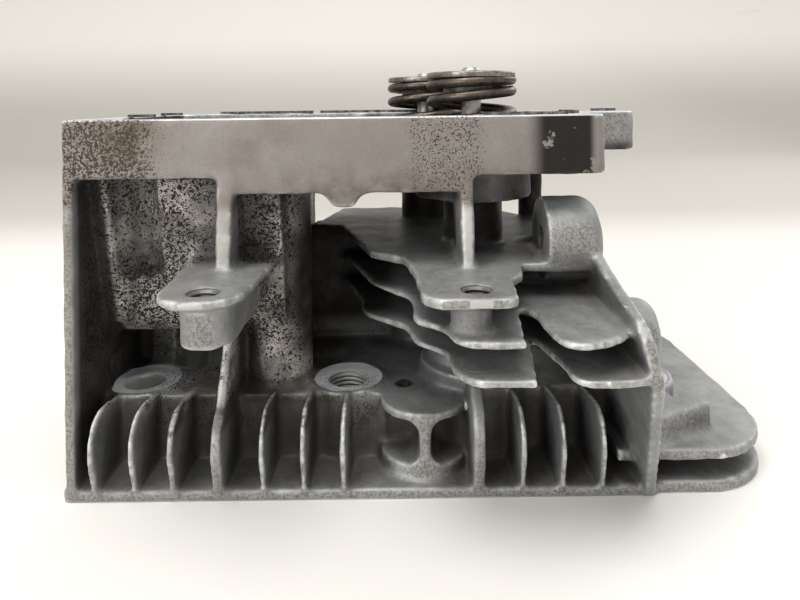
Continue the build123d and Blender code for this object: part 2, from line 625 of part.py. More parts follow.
def keeper(centre, start):
    """One half of the split cone that locks the retainer to the stem."""
    slope = (KEEPER_R1 - KEEPER_R0) / (RETAINER_Z1 - HUB_Z)
    foot_rise, top_drop, groove_gap = 0.4, 0.3, 0.1
    z0, z1 = HUB_Z + foot_rise, RETAINER_Z1 - top_drop
    foot_r = KEEPER_R0 + slope * foot_rise - KEEPER_GAP
    top_r = KEEPER_R1 - slope * top_drop - KEEPER_GAP
    bore = STEM_R + KEEPER_GAP
    bead = GROOVE_R + KEEPER_GAP
    wide, narrow = GROOVE_W - groove_gap, GROOVE_W / 2 - groove_gap
    return turned(centre, ((bore, z0), (foot_r, z0), (top_r, z1), (bore, z1), (bore, GROOVE_Z + wide),
                           (bead, GROOVE_Z + narrow), (bead, GROOVE_Z - narrow), (bore, GROOVE_Z - wide)),
                  arc=172.0, start=start)


def spring(centre, start):
    """Right-hand compression spring with closed, ground ends."""
    x, y = centre
    low, high = SPRING_POCKET_Z + WASHER_T, RETAINER_Z0
    closed_pitch = 2 * WIRE_R + 0.12
    height = high - low - 2 * WIRE_R + 2 * GRIND
    active_pitch = (height - 2 * closed_pitch) / ACTIVE_TURNS

    def rise(turn):
        if turn < 1:
            return turn * closed_pitch
        if turn < 1 + ACTIVE_TURNS:
            return closed_pitch + (turn - 1) * active_pitch
        return closed_pitch * (turn - ACTIVE_TURNS) + ACTIVE_TURNS * active_pitch

    steps_per_turn = 10
    wire = []
    for step in range(int((ACTIVE_TURNS + 2) * steps_per_turn) + 1):
        turn = step / steps_per_turn
        angle = math.radians(start + 360 * turn)
        smooth = sum(rise(min(max(turn + shift / 8, 0), ACTIVE_TURNS + 2)) for shift in (-1, 0, 1)) / 3
        wire.append((x + SPRING_R * math.cos(angle), y + SPRING_R * math.sin(angle),
                     low + WIRE_R - GRIND + smooth))
    with BuildPart() as made:
        with BuildLine() as path:
            Spline(*wire)
        with BuildSketch(Plane(origin=path.line @ 0, z_dir=path.line % 0)):
            Circle(WIRE_R)
        sweep()
        split(bisect_by=Plane.XY.offset(low), keep=Keep.TOP)
        split(bisect_by=Plane.XY.offset(high), keep=Keep.BOTTOM)
    return made.part


def stem_seal(centre):
    """Cap over the intake guide that wipes oil off the stem."""
    z = SPRING_POCKET_Z + WASHER_T + 1.0
    lip = STEM_R + 0.03
    return turned(centre, ((GUIDE_R, z), (GUIDE_R + 1.6, z), (GUIDE_R + 1.6, z + 6), (lip + 2.2, z + 8.5),
                           (lip, z + 8.5), (lip, z + 6.9), (GUIDE_R, z + 6.0)))


# ==== what is left of the rocker-cover gasket ======================================================
def ragged_strip(x0, x1, y, width, seed):
    """Torn strip of gasket along the rim; its edges wander by a repeatable formula."""
    steps = max(4, int((x1 - x0) / 4))
    near, far = [], []
    for step in range(steps + 1):
        x = x0 + (x1 - x0) * step / steps
        wander = 0.35 * math.sin(seed + 1.9 * step) + 0.2 * math.sin(2.3 * seed + 3.7 * step)
        near.append((x, y - width / 2 + wander))
        far.append((x, y + width / 2 - 0.8 * wander))
    return slab(near + far[::-1], RIM_Z + GASKET_T, GASKET_T)


NODES = {
    "casting": casting.part,
    "exhaust_valve": valve(EXHAUST_XY, EXHAUST_HEAD_R),
    "intake_valve": valve(INTAKE_XY, INTAKE_HEAD_R),
    "exhaust_seat_insert": seat_insert(EXHAUST_XY, EXHAUST_HEAD_R),
    "intake_seat_insert": seat_insert(INTAKE_XY, INTAKE_HEAD_R),
    "exhaust_guide": guide(EXHAUST_XY),
    "intake_guide": guide(INTAKE_XY),
    "exhaust_spring_washer": washer(EXHAUST_XY),
    "intake_spring_washer": washer(INTAKE_XY),
    "exhaust_spring": spring(EXHAUST_XY, COIL_START),
    "intake_spring": spring(INTAKE_XY, COIL_START),
    "exhaust_retainer": retainer(EXHAUST_XY),
    "intake_retainer": retainer(INTAKE_XY),
    "exhaust_keeper_left": keeper(EXHAUST_XY, 94.0),
    "exhaust_keeper_right": keeper(EXHAUST_XY, 274.0),
    "intake_keeper_left": keeper(INTAKE_XY, 94.0),
    "intake_keeper_right": keeper(INTAKE_XY, 274.0),
    "intake_stem_seal": stem_seal(INTAKE_XY),
}

with BuildPart() as gasket_remains:
    for strip in GASKET_STRIPS:
        add(ragged_strip(*strip))
NODES["cover_gasket_remains"] = gasket_remains.part

os.makedirs("parts", exist_ok=True)
for name, piece in NODES.items():
    piece.label = name
    export_step(piece, f"parts/{name}.step")
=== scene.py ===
import json
import math

import bmesh
import bpy
import numpy as np
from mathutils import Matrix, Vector
from mathutils.bvhtree import BVHTree


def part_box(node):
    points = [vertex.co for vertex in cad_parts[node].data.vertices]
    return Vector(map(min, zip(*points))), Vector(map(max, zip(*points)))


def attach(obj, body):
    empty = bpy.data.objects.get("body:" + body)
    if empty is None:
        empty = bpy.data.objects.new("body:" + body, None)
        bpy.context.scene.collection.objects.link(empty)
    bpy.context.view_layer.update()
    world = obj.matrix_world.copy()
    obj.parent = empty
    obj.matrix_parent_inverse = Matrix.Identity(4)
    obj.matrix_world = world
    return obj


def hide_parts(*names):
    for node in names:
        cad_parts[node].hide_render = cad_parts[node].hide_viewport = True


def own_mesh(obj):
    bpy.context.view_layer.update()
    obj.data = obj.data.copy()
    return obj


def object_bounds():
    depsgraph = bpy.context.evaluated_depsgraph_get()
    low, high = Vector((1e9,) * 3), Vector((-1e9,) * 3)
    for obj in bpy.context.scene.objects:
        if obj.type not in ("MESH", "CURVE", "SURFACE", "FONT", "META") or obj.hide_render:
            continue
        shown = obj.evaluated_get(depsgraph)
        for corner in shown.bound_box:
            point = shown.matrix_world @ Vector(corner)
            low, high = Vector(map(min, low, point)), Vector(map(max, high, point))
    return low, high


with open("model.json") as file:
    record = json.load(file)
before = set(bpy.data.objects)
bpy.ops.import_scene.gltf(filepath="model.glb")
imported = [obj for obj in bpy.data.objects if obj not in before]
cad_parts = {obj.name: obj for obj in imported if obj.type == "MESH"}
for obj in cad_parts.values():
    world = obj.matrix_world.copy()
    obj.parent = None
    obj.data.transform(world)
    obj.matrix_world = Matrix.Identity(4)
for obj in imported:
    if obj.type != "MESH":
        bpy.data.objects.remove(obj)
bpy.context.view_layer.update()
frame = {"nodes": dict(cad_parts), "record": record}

# A bare cylinder head standing on its gasket face. Metres; X right, Y away from the camera, Z up.
MM = 0.001
RIM_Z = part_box("casting")[1].z
MOUNTS = {mount["name"]: mount for mount in frame["record"]["mounts"]}
WOBBLE = 0.055 * MM                     # unevenness of the cast skin
RELAX, FILL = 0.5, 0.6                  # how far one smoothing and one filling pass move a point


# ==== mesh work ===============================================================================
def coordinates(mesh):
    flat = np.empty(len(mesh.vertices) * 3)
    mesh.vertices.foreach_get("co", flat)
    return flat.reshape(-1, 3)


def apply_modifiers(piece):
    """Bakes a piece's modifiers into a mesh of its own."""
    depsgraph = bpy.context.evaluated_depsgraph_get()
    mesh = bpy.data.meshes.new_from_object(piece.evaluated_get(depsgraph))
    piece.modifiers.clear()
    piece.data = mesh


def copy_of_node(node, name):
    """New object with a copy of a CAD node's mesh."""
    source = frame["nodes"][node]
    mesh = source.data.copy()
    mesh.transform(source.matrix_world)
    mesh.materials.clear()
    piece = bpy.data.objects.new(name, mesh)
    bpy.context.collection.objects.link(piece)
    return piece


def neighbour_pull(points, edges, degree):
    """Vector from every point to the mean of its neighbours."""
    total = np.empty_like(points)
    for axis in range(3):
        column = points[:, axis]
        total[:, axis] = (np.bincount(edges[:, 0], column[edges[:, 1]], len(points))
                          + np.bincount(edges[:, 1], column[edges[:, 0]], len(points)))
    return total / degree[:, None] - points


def point_normals(points, quads):
    """Area-weighted normals of an all-quad mesh."""
    cross = np.cross(points[quads[:, 2]] - points[quads[:, 0]], points[quads[:, 3]] - points[quads[:, 1]])
    normals = np.empty_like(points)
    corner = quads.ravel()
    for axis in range(3):
        normals[:, axis] = np.bincount(corner, np.repeat(cross[:, axis], 4), len(points))
    length = np.linalg.norm(normals, axis=1)
    return normals / np.maximum(length, 1e-12)[:, None]


def cast_finish(piece, voxel, fillet_steps, round_steps, still):
    """Gives a sharp solid the look of a casting: concave corners fill to fillets, edges are rounded.

    A corner fills only while it is tighter than still, so drilled holes keep their size."""
    remesh = piece.modifiers.new("remesh", "REMESH")
    remesh.mode = "VOXEL"
    remesh.voxel_size = voxel
    apply_modifiers(piece)
    mesh = piece.data
    points = coordinates(mesh)
    edges = np.empty(len(mesh.edges) * 2, int)
    mesh.edges.foreach_get("vertices", edges)
    edges = edges.reshape(-1, 2)
    degree = np.bincount(edges.ravel(), minlength=len(points)).astype(float)
    quads = np.empty(len(mesh.loops), int)
    mesh.loops.foreach_get("vertex_index", quads)
    quads = quads.reshape(-1, 4)
    for _ in range(2):
        points += RELAX * neighbour_pull(points, edges, degree)
    for step in range(fillet_steps):
        if step % 3 == 0:
            normals = point_normals(points, quads)
        pull = neighbour_pull(points, edges, degree)
        rise = np.einsum("ij,ij->i", pull, normals)
        rise[rise < still] = 0
        points += FILL * rise[:, None] * normals
    for _ in range(round_steps):
        points += RELAX * neighbour_pull(points, edges, degree)
    points += foundry_wobble(points) * point_normals(points, quads)
    mesh.vertices.foreach_set("co", points.ravel())
    mesh.update()
    return mesh


def foundry_wobble(points):
    """Slow unevenness of a cast skin, in metres along the normal; machined faces stay flat."""
    x, y, z = (points / MM).T
    waves = (np.sin(0.41 * x + 1.3 * np.sin(0.23 * z)) + np.sin(0.53 * z + 1.7 * np.sin(0.31 * y) + 0.6)
             + np.sin(0.47 * y + 1.1 * np.sin(0.37 * x) + 2.1) + 0.6 * np.sin(1.1 * x + 0.9 * z + 0.7 * y))
    machined = np.minimum(np.abs(z), np.abs(z - RIM_Z / MM))
    return (WOBBLE * waves * np.clip(machined - 0.6, 0, 1))[:, None]


def thin_out(piece, share):
    """Collapses a dense mesh to a share of its faces, flat areas first."""
    collapse = piece.modifiers.new("collapse", "DECIMATE")
    collapse.ratio = share
    apply_modifiers(piece)


def keep_largest_part(piece):
    """Drops the specks of a face or two that the collapse can leave beside the skin."""
    grid = bmesh.new()
    grid.from_mesh(piece.data)
    unseen = set(grid.verts)
    parts = []
    while unseen:
        part = [unseen.pop()]
        for vertex in part:
            linked = {edge.other_vert(vertex) for edge in vertex.link_edges} & unseen
            unseen -= linked
            part.extend(linked)
        parts.append(part)
    parts.sort(key=len)
    for part in parts[:-1]:
        bmesh.ops.delete(grid, geom=part, context="VERTS")
    grid.to_mesh(piece.data)
    grid.free()


def store_shelter(piece, reach, rays):
    """Writes how boxed-in every point is, 0 open to 1 closed, as the attribute shelter.

    Rays spread evenly over the half-sphere above the surface, and near hits count more."""
    mesh = piece.data
    tree = BVHTree.FromObject(piece, bpy.context.evaluated_depsgraph_get())
    golden = math.pi * (3 - math.sqrt(5))
    directions = []
    for k in range(rays):
        height = (k + 0.5) / rays
        ring = math.sqrt(1 - height * height)
        directions.append(Vector((ring * math.cos(k * golden), ring * math.sin(k * golden), height)))
    closed = np.zeros(len(mesh.vertices))
    for index, vertex in enumerate(mesh.vertices):
        turn = vertex.normal.to_track_quat("Z", "Y")
        start = vertex.co + vertex.normal * (0.3 * MM)
        hits = 0.0
        for direction in directions:
            distance = tree.ray_cast(start, turn @ direction, reach)[3]
            if distance is not None:
                hits += 1.0 - distance / reach
        closed[index] = hits / rays
    attribute = mesh.attributes.new("shelter", "FLOAT", "POINT")
    attribute.data.foreach_set("value", closed.astype(np.float32))


def shade_smooth(piece, angle=None):
    piece.data.polygons.foreach_set("use_smooth", [True] * len(piece.data.polygons))
    if angle is not None:
        piece.data.set_sharp_from_angle(angle=math.radians(angle))


def mesh_piece(name, points, faces):
    mesh = bpy.data.meshes.new(name)
    mesh.from_pydata(points, [], faces)
    mesh.update()
    piece = bpy.data.objects.new(name, mesh)
    bpy.context.collection.objects.link(piece)
    shade_smooth(piece)
    return piece


# ==== node materials ============================================================================
class Graph:
    """Builds one material's node tree; sockets and plain numbers mix freely."""

    def __init__(self, name):
        self.material = bpy.data.materials.new(name)
        self.material.use_nodes = True
        self.tree = self.material.node_tree
        self.tree.nodes.clear()
        output = self.node("ShaderNodeOutputMaterial")
        self.bsdf = self.node("ShaderNodeBsdfPrincipled")
        self.tree.links.new(self.bsdf.outputs[0], output.inputs[0])
        place = self.node("ShaderNodeTexCoord").outputs["Object"]
        self.place = self.vector("SCALE", place, scale=1 / MM)
        parts = self.node("ShaderNodeSeparateXYZ")
        self.feed(parts.inputs[0], self.place)
        self.x, self.y, self.z = parts.outputs

    def node(self, kind):
        return self.tree.nodes.new(kind)

    def feed(self, socket, value):
        if isinstance(value, bpy.types.NodeSocket):
            self.tree.links.new(value, socket)
        elif isinstance(value, tuple) and len(socket.default_value) == 4:
            socket.default_value = (*value, 1.0)
        else:
            socket.default_value = value

    def vector(self, operation, a, b=None, scale=None):
        made = self.node("ShaderNodeVectorMath")
        made.operation = operation
        self.feed(made.inputs[0], a)
        if b is not None:
            self.feed(made.inputs[1], b)
        if scale is not None:
            self.feed(made.inputs["Scale"], scale)
        return made.outputs["Value"] if operation in ("LENGTH", "DISTANCE") else made.outputs["Vector"]

    def math(self, operation, a, b=0.0):
        made = self.node("ShaderNodeMath")
        made.operation = operation
        self.feed(made.inputs[0], a)
        self.feed(made.inputs[1], b)
        return made.outputs[0]

    def times(self, *values):
        product = values[0]
        for value in values[1:]:
            product = self.math("MULTIPLY", product, value)
        return product

    def most(self, *values):
        top = values[0]
        for value in values[1:]:
            top = self.math("MAXIMUM", top, value)
        return top

    def plus(self, a, b):
        return self.math("ADD", a, b)

    def ramp(self, value, low, high, to_low=0.0, to_high=1.0):
        """Smooth step from to_low at low to to_high at high; low may be above high."""
        made = self.node("ShaderNodeMapRange")
        made.interpolation_type = "SMOOTHSTEP"
        if low > high:
            low, high, to_low, to_high = high, low, to_high, to_low
        self.feed(made.inputs["Value"], value)
        for socket, number in (("From Min", low), ("From Max", high),
                               ("To Min", to_low), ("To Max", to_high)):
            made.inputs[socket].default_value = number
        return made.outputs["Result"]

    def band(self, value, low, high, soft):
        """1 between low and high, fading over soft outside them."""
        return self.times(self.ramp(value, low - soft, low), self.ramp(value, high + soft, high))

    def noise(self, scale, detail=4.0, rough=0.55, seed=0.0, stretch=None, distortion=0.0):
        made = self.node("ShaderNodeTexNoise")
        made.noise_dimensions = "4D"
        place = self.place if stretch is None else self.vector("MULTIPLY", self.place, stretch)
        self.feed(made.inputs["Vector"], place)
        for socket, number in (("W", seed), ("Scale", scale), ("Detail", detail), ("Roughness", rough),
                               ("Distortion", distortion)):
            made.inputs[socket].default_value = number
        return made.outputs["Fac"]

    def near(self, centre, inner, outer):
        """1 within inner millimetres of a point, 0 beyond outer."""
        return self.ramp(self.vector("DISTANCE", self.place, centre), outer, inner)

    def mix(self, factor, a, b):
        made = self.node("ShaderNodeMix")
        made.data_type = "RGBA"
        self.feed(made.inputs[0], factor)
        self.feed(made.inputs[6], a)
        self.feed(made.inputs[7], b)
        return made.outputs[2]

    def blend(self, factor, a, b):
        made = self.node("ShaderNodeMix")
        self.feed(made.inputs[0], factor)
        self.feed(made.inputs[2], a)
        self.feed(made.inputs[3], b)
        return made.outputs[0]

    def attribute(self, name):
        made = self.node("ShaderNodeAttribute")
        made.attribute_name = name
        return made.outputs["Fac"]

    def pointiness(self):
        return self.node("ShaderNodeNewGeometry").outputs["Pointiness"]

    def facing(self):
        """Parts x, y and z of the surface normal."""
        parts = self.node("ShaderNodeSeparateXYZ")
        self.feed(parts.inputs[0], self.node("ShaderNodeTexCoord").outputs["Normal"])
        return parts.outputs

    def finish(self, colour, metallic, roughness, heights=()):
        """Wires the surface; heights are (socket, millimetres of relief)."""
        self.feed(self.bsdf.inputs["Base Color"], colour)
        self.feed(self.bsdf.inputs["Metallic"], metallic)
        self.feed(self.bsdf.inputs["Roughness"], roughness)
        normal = None
        for height, relief in heights:
            bump = self.node("ShaderNodeBump")
            bump.inputs["Distance"].default_value = relief * MM
            self.feed(bump.inputs["Height"], height)
            if normal is not None:
                self.feed(bump.inputs["Normal"], normal)
            normal = bump.outputs[0]
        if normal is not None:
            self.feed(self.bsdf.inputs["Normal"], normal)
        return self.material


def mount_plan(name):
    """Where a mount's axis stands in plan, in millimetres."""
    x, y, _ = MOUNTS[name]["pos_m"]
    return (x / MM, y / MM)


# the materials below work in millimetres
HALF_X = MOUNTS["head_bolts"]["dims"]["spacing_x_mm"] / 2
HALF_Y = MOUNTS["head_bolts"]["dims"]["spacing_y_mm"] / 2
BOLTS = [mount_plan("far_head_bolt")] + [(x, y) for y in (-HALF_Y, HALF_Y) for x in (-HALF_X, HALF_X)]
NEAR_BOLT = BOLTS[1]
BOLT_R, SPOT_FACE_R = 5.5, 10.0
SHELF_Z = 20.4                          # top of the deck behind the front fins
BOX_FRONT_Y = -52.0                     # just inside the front face of the rocker box
THREAD_PITCH = 1.25


def cast_aluminium():
    """Old die-cast aluminium: grey skin, corrosion speckle on the left, oil and painted shadow inside,
    painted shade in hollows, a painted highlight on two ribs, bare worn edges.
    """
    g = Graph("cast_aluminium")
    sheltered = g.attribute("shelter")
    pointy = g.pointiness()
    mottle = g.noise(0.09, detail=6.0, rough=0.62)
    grain = g.noise(1.7, detail=3.0, rough=0.6, seed=2.0)
    clouds = g.noise(0.035, detail=3.0, seed=9.0)

    skin = g.mix(g.ramp(mottle, 0.3, 0.7), (0.19, 0.195, 0.20), (0.32, 0.325, 0.325))
    skin = g.mix(g.ramp(grain, 0.4, 0.75, 0.0, 0.3), skin, (0.52, 0.52, 0.515))
    front = g.ramp(g.facing()[1], -0.75, -0.95)
    upward = g.ramp(g.facing()[2], 0.6, 0.9)
    pale_face = g.mix(g.ramp(grain, 0.38, 0.6), (0.15, 0.145, 0.135), (0.34, 0.33, 0.315))
    skin = g.mix(g.times(front, g.ramp(sheltered, 0.4, 0.15), 0.85), skin, pale_face)

    # painted highlight: the front faces of two upright ribs on the rocker box are painted pale
    rib_front_highlight = g.times(front, g.band(g.z, 58.0, 84.0, 2.0), g.ramp(g.y, -51.0, -53.0),
                        g.most(g.band(g.x, -74.5, -69.5, 0.5), g.band(g.x, -11.2, -6.6, 0.5)))
    skin = g.mix(g.times(rib_front_highlight, 0.8), skin, (0.56, 0.55, 0.53))

    # where the metal is dirty: the body on the left, the rocker box face, and pockets everywhere
    left = g.ramp(g.x, -40.0, -62.0)
    above_shelf = g.ramp(g.z, SHELF_Z - 4, SHELF_Z + 3)
    body = g.times(left, above_shelf, g.ramp(g.z, 90.0, 86.0), g.ramp(g.y, -53.0, -47.0))
    box_face = g.times(g.ramp(g.y, BOX_FRONT_Y, BOX_FRONT_Y - 1.5), g.ramp(g.z, 74.0, 78.0))
    face_left = g.times(box_face, g.ramp(g.x, -78.0, -96.0))
    face_middle = g.times(box_face, g.band(g.x, -22.0, -6.0, 5.0))
    low_left = g.times(g.ramp(g.x, -24.0, -36.0), g.band(g.z, 12.0, 24.0, 5.0), g.ramp(g.y, -48.0, -40.0))
    patchy = g.ramp(g.noise(0.05, detail=4.0, seed=4.0), 0.36, 0.6)
    colour = g.mix(g.times(box_face, 0.85), skin, g.mix(mottle, (0.20, 0.18, 0.163), (0.275, 0.25, 0.23)))

    speckle_zone = g.most(g.times(body, g.blend(0.6, patchy, 1.0)),
                          g.times(face_left, g.blend(patchy, 0.6, 1.0)), g.times(face_middle, 0.85),
                          g.times(low_left, 0.85, patchy),
                          g.times(box_face, 0.3, patchy), g.times(front, 0.26))
    spots = g.noise(1.15, detail=2.5, rough=0.55, seed=6.0, distortion=0.4)
    fine_spots = g.noise(2.3, detail=2.0, rough=0.5, seed=7.0)
    threshold = g.blend(speckle_zone, 0.76, 0.5)
    coarse = g.blend(g.most(body, face_left), 0.12, 0.0)
    speckle = g.most(g.ramp(g.math("SUBTRACT", spots, g.plus(threshold, coarse)), 0.0, 0.035),
                     g.ramp(g.math("SUBTRACT", fine_spots, g.plus(threshold, 0.02)), 0.0, 0.035))

    # brown film everywhere, pale corrosion on the body, one dark brown stain on the box
    film = g.times(g.ramp(g.noise(0.06, detail=5.0, seed=12.0), 0.42, 0.66),
                   g.most(g.times(left, 0.7), g.times(box_face, 0.3), g.times(sheltered, 0.9), 0.12))
    colour = g.mix(g.times(film, 0.65), colour, (0.12, 0.095, 0.07))
    pale = g.times(body, g.ramp(g.noise(0.16, detail=4.0, seed=21.0), 0.4, 0.6),
                   g.ramp(sheltered, 0.55, 0.25), 0.85)
    colour = g.mix(pale, colour, (0.56, 0.52, 0.49))
    brown_stain = g.times(face_left, g.near((-97.0, -54.0, 94.0), 2.0, 13.0),
                          g.ramp(g.noise(0.3, detail=6.0, seed=24.0), 0.36, 0.6))
    colour = g.mix(g.times(brown_stain, 0.8), colour, (0.09, 0.06, 0.038))

    # painted shade: hollows are painted towards black by how boxed-in they are, less on faces turned up
    hollow_shade = g.times(g.ramp(sheltered, 0.12, 0.62), g.blend(upward, 0.72, 0.42))
    colour = g.mix(hollow_shade, colour, (0.035, 0.032, 0.030))

    # painted shadow and oil: the cave between the body and the fins and the space under the rocker box are
    # painted near black as shadow; oil patches, a dirty pocket, the inside of the left wall and the pit join
    # them
    cave_shadow = g.times(g.near((-44.0, -8.0, 50.0), 26.0, 42.0), g.ramp(g.x, -22.0, -32.0),
                   g.ramp(g.y, -46.0, -36.0), g.ramp(g.z, 22.0, 30.0))
    under_box_shade = g.times(g.band(g.z, 63.0, 87.0, 5.0), g.ramp(g.y, -44.0, -36.0), g.ramp(g.x, -56.0, -40.0))
    patch = g.times(box_face, g.ramp(g.x, 6.0, 12.0), g.ramp(g.x, 25.4, 23.0),
                    g.ramp(g.noise(0.16, detail=6.0, rough=0.62, seed=15.0), 0.39, 0.42))
    skirt_stain = g.times(box_face, g.ramp(g.z, 91.0, 80.0), g.ramp(g.x, -70.0, -45.0),
                          g.ramp(g.noise(0.25, detail=6.0, rough=0.65, seed=16.0), 0.25, 0.75))
    colour = g.mix(g.times(skirt_stain, 0.75), colour, (0.085, 0.062, 0.045))
    pocket_dirt = g.times(g.near((-100.0, -40.0, 57.0), 3.0, 9.0), g.ramp(g.noise(0.4, seed=17.0), 0.4, 0.6))
    wall_inside = g.times(g.band(g.x, -112.0, -108.0, 1.5), g.ramp(g.y, -53.0, -50.0),
                          g.ramp(g.z, 4.0, 12.0), 0.9)
    # painted shade: the shallow pit in the shelf is painted black inside
    pit = g.near((-25.9, -31.9, SHELF_Z - 1), 2.2, 3.6)
    ragged = g.ramp(g.noise(0.12, detail=5.0, seed=14.0), 0.25, 0.6)
    oil_and_shade = g.most(g.times(cave_shadow, g.blend(0.85, ragged, 1.0)), g.times(under_box_shade, g.blend(0.8, ragged, 1.0)),
                 patch, pocket_dirt, wall_inside, pit)
    deck_dirt = g.times(g.band(g.z, SHELF_Z - 1.5, SHELF_Z + 2.0, 2.0), g.ramp(g.x, -38.0, -50.0),
                        g.ramp(g.x, -94.0, -84.0), g.ramp(g.noise(0.08, detail=5.0, seed=26.0), 0.25, 0.5))
    colour = g.mix(g.times(deck_dirt, 0.8), colour, (0.05, 0.042, 0.034))
    grime = g.times(g.ramp(sheltered, 0.3, 0.7), g.ramp(g.noise(0.15, detail=5.0, seed=18.0), 0.3, 0.65))
    colour = g.mix(g.times(grime, 0.6), colour, (0.07, 0.058, 0.048))
    colour = g.mix(speckle, colour, g.mix(box_face, (0.03, 0.025, 0.02), (0.065, 0.05, 0.038)))
    # painted shadow and oil, near black
    colour = g.mix(oil_and_shade, colour, (0.020, 0.018, 0.016))

    # bare edges and machined faces
    edge = g.times(g.ramp(pointy, 0.515, 0.575), g.ramp(g.noise(0.5, detail=4.0, seed=19.0), 0.3, 0.6),
                   g.blend(oil_and_shade, 1.0, 0.2))
    colour = g.mix(g.times(edge, 0.85), colour, (0.74, 0.74, 0.725))
    turned = g.times(g.band(g.z, SHELF_Z - 0.4, SHELF_Z + 0.6, 0.2), g.most(*[
        g.band(ring_distance(g, bolt), BOLT_R, SPOT_FACE_R, 0.3) for bolt in BOLTS]))
    rim = g.ramp(g.z, RIM_Z / MM - 0.5, RIM_Z / MM - 0.25)
    gasket_face = g.ramp(g.z, 0.5, 0.25)
    bore_wall = g.times(g.ramp(g.z, SHELF_Z, SHELF_Z - 0.4), g.most(*[
        g.ramp(ring_distance(g, bolt), BOLT_R + 0.4, BOLT_R + 0.1) for bolt in BOLTS]))
    machined = g.most(turned, rim, gasket_face, bore_wall)
    dulled = g.ramp(g.noise(0.12, detail=5.0, seed=20.0), 0.35, 0.65)
    bare = g.mix(dulled, (0.40, 0.43, 0.46), (0.66, 0.67, 0.68))
    bare = g.mix(bore_wall, bare, (0.62, 0.61, 0.58))
    colour = g.mix(g.times(machined, g.blend(speckle, 0.85, 0.2)), colour, bare)

    roughness = g.blend(g.ramp(grain, 0.2, 0.8), 0.40, 0.62)
    roughness = g.blend(g.most(speckle, film), roughness, 0.72)
    roughness = g.blend(oil_and_shade, roughness, 0.42)
    roughness = g.blend(machined, roughness, 0.34)
    metallic = g.blend(g.most(g.times(film, 0.8), speckle, g.times(grime, 0.8)), 0.55, 0.1)
    metallic = g.blend(g.most(oil_and_shade, turned), metallic, 0.0)
    g.feed(g.bsdf.inputs["Specular IOR Level"], g.blend(g.most(oil_and_shade, speckle, hollow_shade), 0.5, 0.08))
    threads = hole_threads(g)
    tool_marks = g.times(turned, g.math("SINE", g.times(ring_distance(g, NEAR_BOLT), 9.0)))
    relief = g.math("SUBTRACT", grain, g.times(speckle, 0.8))
    return g.finish(colour, metallic, roughness,
                    ((mottle, 0.25), (g.times(relief, g.blend(machined, 1.0, 0.1)), 0.07), (threads, 0.35),
                     (tool_marks, 0.03), (clouds, 0.3)))


def ring_distance(g, centre):
    """Distance in plan from an upright axis."""
    flat = g.vector("MULTIPLY", g.place, (1.0, 1.0, 0.0))
    return g.vector("DISTANCE", flat, (*centre, 0.0))


def hole_threads(g):
    """Thread-like rings on the walls of the ears' tapped holes and the near bolt hole."""
    holes = [(mount_plan("left_ear_thread"), 3.6), (mount_plan("middle_ear_thread"), 3.6), (NEAR_BOLT, 5.8)]
    zone = g.most(*[g.ramp(ring_distance(g, centre), radius + 0.25, radius) for centre, radius in holes])
    return g.times(zone, g.math("SINE", g.times(g.z, 2 * math.pi / THREAD_PITCH)))


def steel(name, dark, light, roughness, stain, stretch=(1.0, 1.0, 1.0), metallic=1.0):
    """Steel with streaks across the axes that stretch leaves at 1, and a brown film of old oil."""
    g = Graph(name)
    streaks = g.noise(0.9, detail=5.0, rough=0.6, stretch=stretch)
    blotch = g.noise(0.22, detail=5.0, seed=5.0)
    scratches = g.noise(3.0, detail=2.0, seed=8.0, stretch=stretch)
    colour = g.mix(g.ramp(streaks, 0.3, 0.7), dark, light)
    film = g.times(g.ramp(blotch, 0.45, 0.62), stain)
    colour = g.mix(film, colour, (0.075, 0.05, 0.035))
    edge = g.ramp(g.pointiness(), 0.53, 0.6)
    colour = g.mix(g.times(edge, 0.4), colour, tuple(min(1.0, 1.6 * c) for c in light))
    worn = g.blend(g.ramp(scratches, 0.3, 0.7), roughness - 0.06, roughness + 0.1)
    rough = g.plus(worn, g.times(film, 0.15))
    shine = g.blend(g.times(film, 0.7), metallic, 0.2)
    return g.finish(colour, shine, rough, ((streaks, 0.02), (scratches, 0.012)))


def gasket_fibre():
    """Scorched gasket sheet: dark fibre with paler torn patches and a blue sealant tint in places."""
    g = Graph("gasket_fibre")
    torn = g.noise(0.5, detail=6.0, rough=0.7)
    fibre = g.noise(2.6, detail=3.0, seed=3.0, stretch=(0.3, 1.0, 1.0))
    colour = g.mix(g.ramp(torn, 0.42, 0.6), (0.035, 0.032, 0.03), (0.20, 0.18, 0.155))
    tint = g.times(g.ramp(g.noise(0.12, seed=11.0), 0.55, 0.65), g.ramp(g.x, -20.0, 10.0))
    colour = g.mix(tint, colour, (0.05, 0.07, 0.16))
    return g.finish(colour, 0.0, g.blend(fibre, 0.6, 0.95), ((torn, 0.3), (fibre, 0.08)))


def seal_rubber():
    g = Graph("seal_rubber")
    dust = g.noise(0.6, detail=5.0)
    colour = g.mix(g.ramp(dust, 0.4, 0.7), (0.015, 0.014, 0.013), (0.05, 0.045, 0.04))
    return g.finish(colour, 0.0, g.blend(dust, 0.45, 0.7), ((dust, 0.05),))


# ==== pieces =======================================================================================
VOXEL, SHARE_KEPT, RAYS = ((0.7 * MM, 0.35, 12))
FILLET_STEPS, ROUND_STEPS = 16, 2
SHELTER_REACH = 28 * MM


def build_casting(material):
    """The casting's visible skin, made from a copy of the CAD solid."""
    piece = copy_of_node("casting", "casting_skin")
    cast_finish(piece, VOXEL, FILLET_STEPS, ROUND_STEPS, 0.05 * VOXEL)
    thin_out(piece, SHARE_KEPT)
    keep_largest_part(piece)
    shade_smooth(piece)
    store_shelter(piece, SHELTER_REACH, RAYS)
    piece.data.materials.clear()
    piece.data.materials.append(material)
    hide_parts("casting")
    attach(piece, "head")
    return piece


